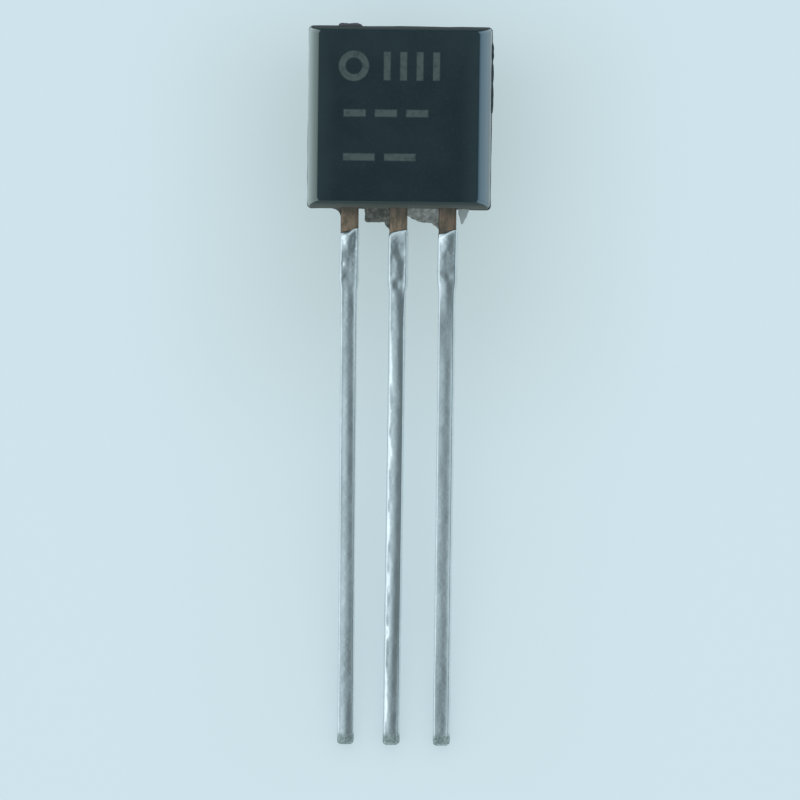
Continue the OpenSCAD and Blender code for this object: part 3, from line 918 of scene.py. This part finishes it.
def build_floor():
    """Pale floor, a shade darker round the part. Its own colour shows in part whatever the light, which
    keeps the shadows on it as faint as in the photo."""
    mesh = bpy.data.meshes.new("floor")
    corners = [(x * FLOOR_HALF, y * FLOOR_HALF, 0) for x, y in ((-1, -1), (1, -1), (1, 1), (-1, 1))]
    mesh.from_pydata(corners, [], [(0, 1, 2, 3)])
    floor = bpy.data.objects.new("floor", mesh)
    bpy.context.scene.collection.objects.link(floor)
    made, tree, shader = new_material("floor")
    place = put(tree, "TexCoord").outputs["Object"]
    x, y, _ = put(tree, "SeparateXYZ", Vector=place).outputs
    # Painted shade: the floor darkens round the body and along the leads, on top of the shadow it really
    # gets.
    by_leads = ramp(tree, y, -13 * MM, -8 * MM, 0, 0.05)
    by_body = ramp(tree, y, -2.5 * MM, 3 * MM, 0, 0.14)
    shade = math_of(tree, "ADD", by_leads, by_body)
    shade = math_of(tree, "MULTIPLY", shade, ramp(tree, y, 12 * MM, 8 * MM))
    aside = math_of(tree, "ABSOLUTE", x)
    shade = math_of(tree, "MULTIPLY", shade, ramp(tree, aside, 8 * MM, 2 * MM))
    colour = blend_colours(tree, shade, tint(*BACKGROUND), tint(*SHADED_FLOOR))
    feed(tree, shader, Base_Color=colour, Roughness=1.0)
    shader.inputs["Specular IOR Level"].default_value = 0.0
    glow = put(tree, "Emission", Color=colour, Strength=1.0)
    share = math_of(tree, "MULTIPLY", shown_rays(tree), FLOOR_GLOW)
    mixed = put(tree, "MixShader", i0=share, i1=shader.outputs[0], i2=glow.outputs[0])
    tree.links.new(mixed.outputs[0], tree.nodes["Material Output"].inputs["Surface"])
    mesh.materials.append(made)


def build_world():
    """Light from above, and a room with a dark patch and a window for the shine to show."""
    world = bpy.data.worlds.new("studio")
    bpy.context.scene.world = world
    world.use_nodes = True
    world.cycles.sampling_method = "NONE"
    tree = world.node_tree
    tree.nodes.clear()
    x, y, z = put(tree, "SeparateXYZ", Vector=put(tree, "TexCoord").outputs["Generated"]).outputs
    height = math_of(tree, "SUBTRACT", z, math_of(tree, "MULTIPLY", y, LIGHT_LEAN))
    light = blend_colours(tree, ramp(tree, height, 0.0, 1.0), tint(*HORIZON_LIGHT), tint(*TOP_LIGHT))
    room = tint(*BACKGROUND)
    for colour, across in ((DARK_COLOUR, DARK_ACROSS), (WINDOW_COLOUR, WINDOW_ACROSS)):
        share = ramp(tree, z, 0.1, 0.3)
        for value, (start, full, fading, end) in ((x, across), (y, ALONG)):
            share = math_of(tree, "MULTIPLY", share, ramp(tree, value, start, full))
            share = math_of(tree, "MULTIPLY", share, ramp(tree, value, end, fading))
        room = blend_colours(tree, share, room, tint(*colour))
    shown = blend_colours(tree, shown_rays(tree), light, room)
    glow = put(tree, "Background", Color=shown, Strength=1.0)
    out = put(tree, "OutputWorld")
    tree.links.new(glow.outputs[0], out.inputs["Surface"])


def build_camera():
    middle = Vector(to_world(LOOK_AT))
    back = Vector((math.sin(CAMERA_LEAN_X), -math.sin(CAMERA_LEAN_Y), 0))
    back.z = math.sqrt(1 - back.length_squared)
    right = Vector((0, 1, 0)).cross(back).normalized()
    up = back.cross(right)
    turn = Matrix.Rotation(CAMERA_ROLL, 3, back)
    data = bpy.data.cameras.new("camera")
    data.sensor_width = 36
    data.lens = data.sensor_width * CAMERA_DISTANCE / VIEW_WIDTH
    data.clip_start, data.clip_end = 0.001, 10
    camera = bpy.data.objects.new("camera", data)
    bpy.context.scene.collection.objects.link(camera)
    axes = Matrix((turn @ right, turn @ up, back)).transposed()
    camera.matrix_world = Matrix.Translation(middle + back * CAMERA_DISTANCE * MM) @ axes.to_4x4()
    bpy.context.scene.camera = camera


# Each coat: its shape down the lead, then its blobs
EMITTER_TIN = (
    [
        (0.55, 4, 16, 26, 12, 5, 8, 13, 1.0, 0),
        (0.78, 28, 40, 45, 17, 6, 8, 13, 1.0, 0),
        (0.98, 48, 43, 35, 9, 6, 8, 13, 1.0, 0),
        (1.15, 52, 42, 25, 5, 7, 8, 9, 0.9, 0),
        (1.42, 47, 34, 24, 5, 5, 9, 4, 0.8, 0),
        (1.71, 38, 27, 20, 7, 6, 10, 7, 0.8, 0),
        (1.97, 40, 29, 20, 7, 9, 11, 7, 0.6, 0),
        (2.5, 44, 30, 24, 5, 5, 12, 6, 0.4, 0),
        (3.15, 40, 34, 26, 11, 12, 12, 4, 0.3, 0),
        (4.3, 38, 31, 27, 12, 12, 13, 4, 0.25, 0),
        (7.2, 37, 30, 27, 14, 9, 13, 4, 0.25, 0),
        (10.1, 32, 29, 27, 16, 6, 13, 4, 0.3, 0),
        (11.8, 40, 36, 30, 16, 5, 13, 4, 0.4, 0),
        (13.1, 37, 34, 31, 16, 5, 13, 4, 0.4, 0),
    ],
    [(1.44, -0.17, 0.06, -0.012), (1.75, -0.2, 0.12, 0.01)],
)
COLLECTOR_TIN = (
    [
        (0.6, 12, 10, 8, 6, 5, 8, 30, 0.6, 0),
        (0.9, 48, 36, 22, 8, 5, 8, 30, 1.0, 0),
        (1.15, 52, 39, 21, 5, 5, 10, 28, 0.9, 0),
        (1.42, 52, 41, 29, 7, 5, 10, 22, 0.9, 0),
        (1.71, 52, 44, 35, 19, 16, 11, 26, 0.8, 0),
        (1.97, 50, 50, 39, 24, 29, 11, 27, 0.6, 0),
        (2.5, 52, 51, 48, 30, 5, 12, 27, 0.4, 0.002),
        (3.15, 49, 52, 51, 38, 5, 12, 28, 0.3, 0.004),
        (4.3, 30, 41, 41, 30, 5, 12, 29, 0.25, 0.007),
        (7.2, 25, 33, 34, 23, 5, 11, 30, 0.25, 0.007),
        (10.1, 24, 35, 35, 21, 5, 11, 31, 0.3, 0.008),
        (11.8, 26, 35, 33, 18, 9, 11, 29, 0.4, 0.009),
        (13.1, 27, 36, 32, 16, 9, 12, 24, 0.4, 0.007),
    ],
    [(1.15, 0.02, 0.12, -0.01), (1.75, 0, 0.12, 0.01), (1.95, 0.0, 0.12, -0.01)],
)
BASE_TIN = (
    [
        (0.55, 3, 13, 22, 12, 5, 4, 32, 0.7, 0),
        (0.76, 20, 30, 35, 18, 6, 4, 32, 0.7, 0),
        (0.95, 30, 33, 29, 12, 5, 4, 32, 0.7, 0),
        (1.15, 35, 36, 27, 14, 5, 4, 32, 0.6, 0),
        (1.42, 40, 35, 26, 14, 5, 4, 32, 0.6, 0),
        (1.71, 35, 34, 26, 15, 5, 4, 32, 0.6, 0),
        (1.97, 34, 38, 32, 17, 11, 4, 32, 0.5, 0),
        (2.5, 41, 36, 29, 18, 5, 4, 32, 0.3, 0),
        (3.15, 40, 31, 22, 12, 5, 4, 32, 0.25, 0),
        (4.3, 29, 25, 19, 9, 12, 4, 32, 0.25, 0),
        (7.2, 28, 27, 20, 10, 11, 4, 32, 0.25, 0),
        (10.1, 28, 27, 20, 11, 13, 4, 32, 0.3, 0),
        (11.8, 33, 27, 19, 8, 9, 4, 32, 0.4, 0),
        (13.1, 34, 29, 19, 8, 9, 4, 32, 0.4, 0),
    ],
    [(1.75, 0.05, 0.1, -0.01), (1.65, -0.2, 0.1, 0.01)],
)

bpy.context.scene.view_settings.view_transform = "Standard"
build_camera()
build_body(
    resin_material("matt_resin", 1.36, 0.6, 0.72, "face"),
    resin_material("polished_resin_painted_reflection", 1.7, 0.08, 0.14, "side"),
    resin_material("coarse_resin_painted_light", 1.3, 0.9, 1.0, "end"),
)

emitter_shift = -LEAD_LEN * math.tan(EMITTER_LEAN)
collector_shift = LEAD_LEN * math.tan(COLLECTOR_LEAN)
post_notch = (LEAD_PITCH + ROOT_HALF + POST_WING, POST_Y + POST_H / 2)
pad_notches = [(side * PAD_W / 2, PAD_Y + PAD_H / 2) for side in (-1, 1)]
emitter_outline = outer_lead_outline(emitter_shift)
collector_outline = middle_lead_outline(collector_shift)
base_outline = outer_lead_outline(0)
copper = copper_material()
build_lead("emitter_copper", "emitter_lead", emitter_outline, [post_notch], -1, copper)
build_lead("collector_copper", "collector_lead", collector_outline, pad_notches, 1, copper)
build_lead("base_copper", "base_lead", base_outline, [post_notch], 1, copper)

tin = tin_material()
build_coat("emitter_tin", "emitter_lead_coat", -LEAD_PITCH, EMITTER_LEAN, 41, *EMITTER_TIN, tin)
build_coat("collector_tin", "collector_lead_coat", 0, COLLECTOR_LEAN, 51, *COLLECTOR_TIN, tin)
build_coat("base_tin", "base_lead_coat", LEAD_PITCH, 0, 61, *BASE_TIN, tin)
dress_nodes()
build_floor()
build_world()
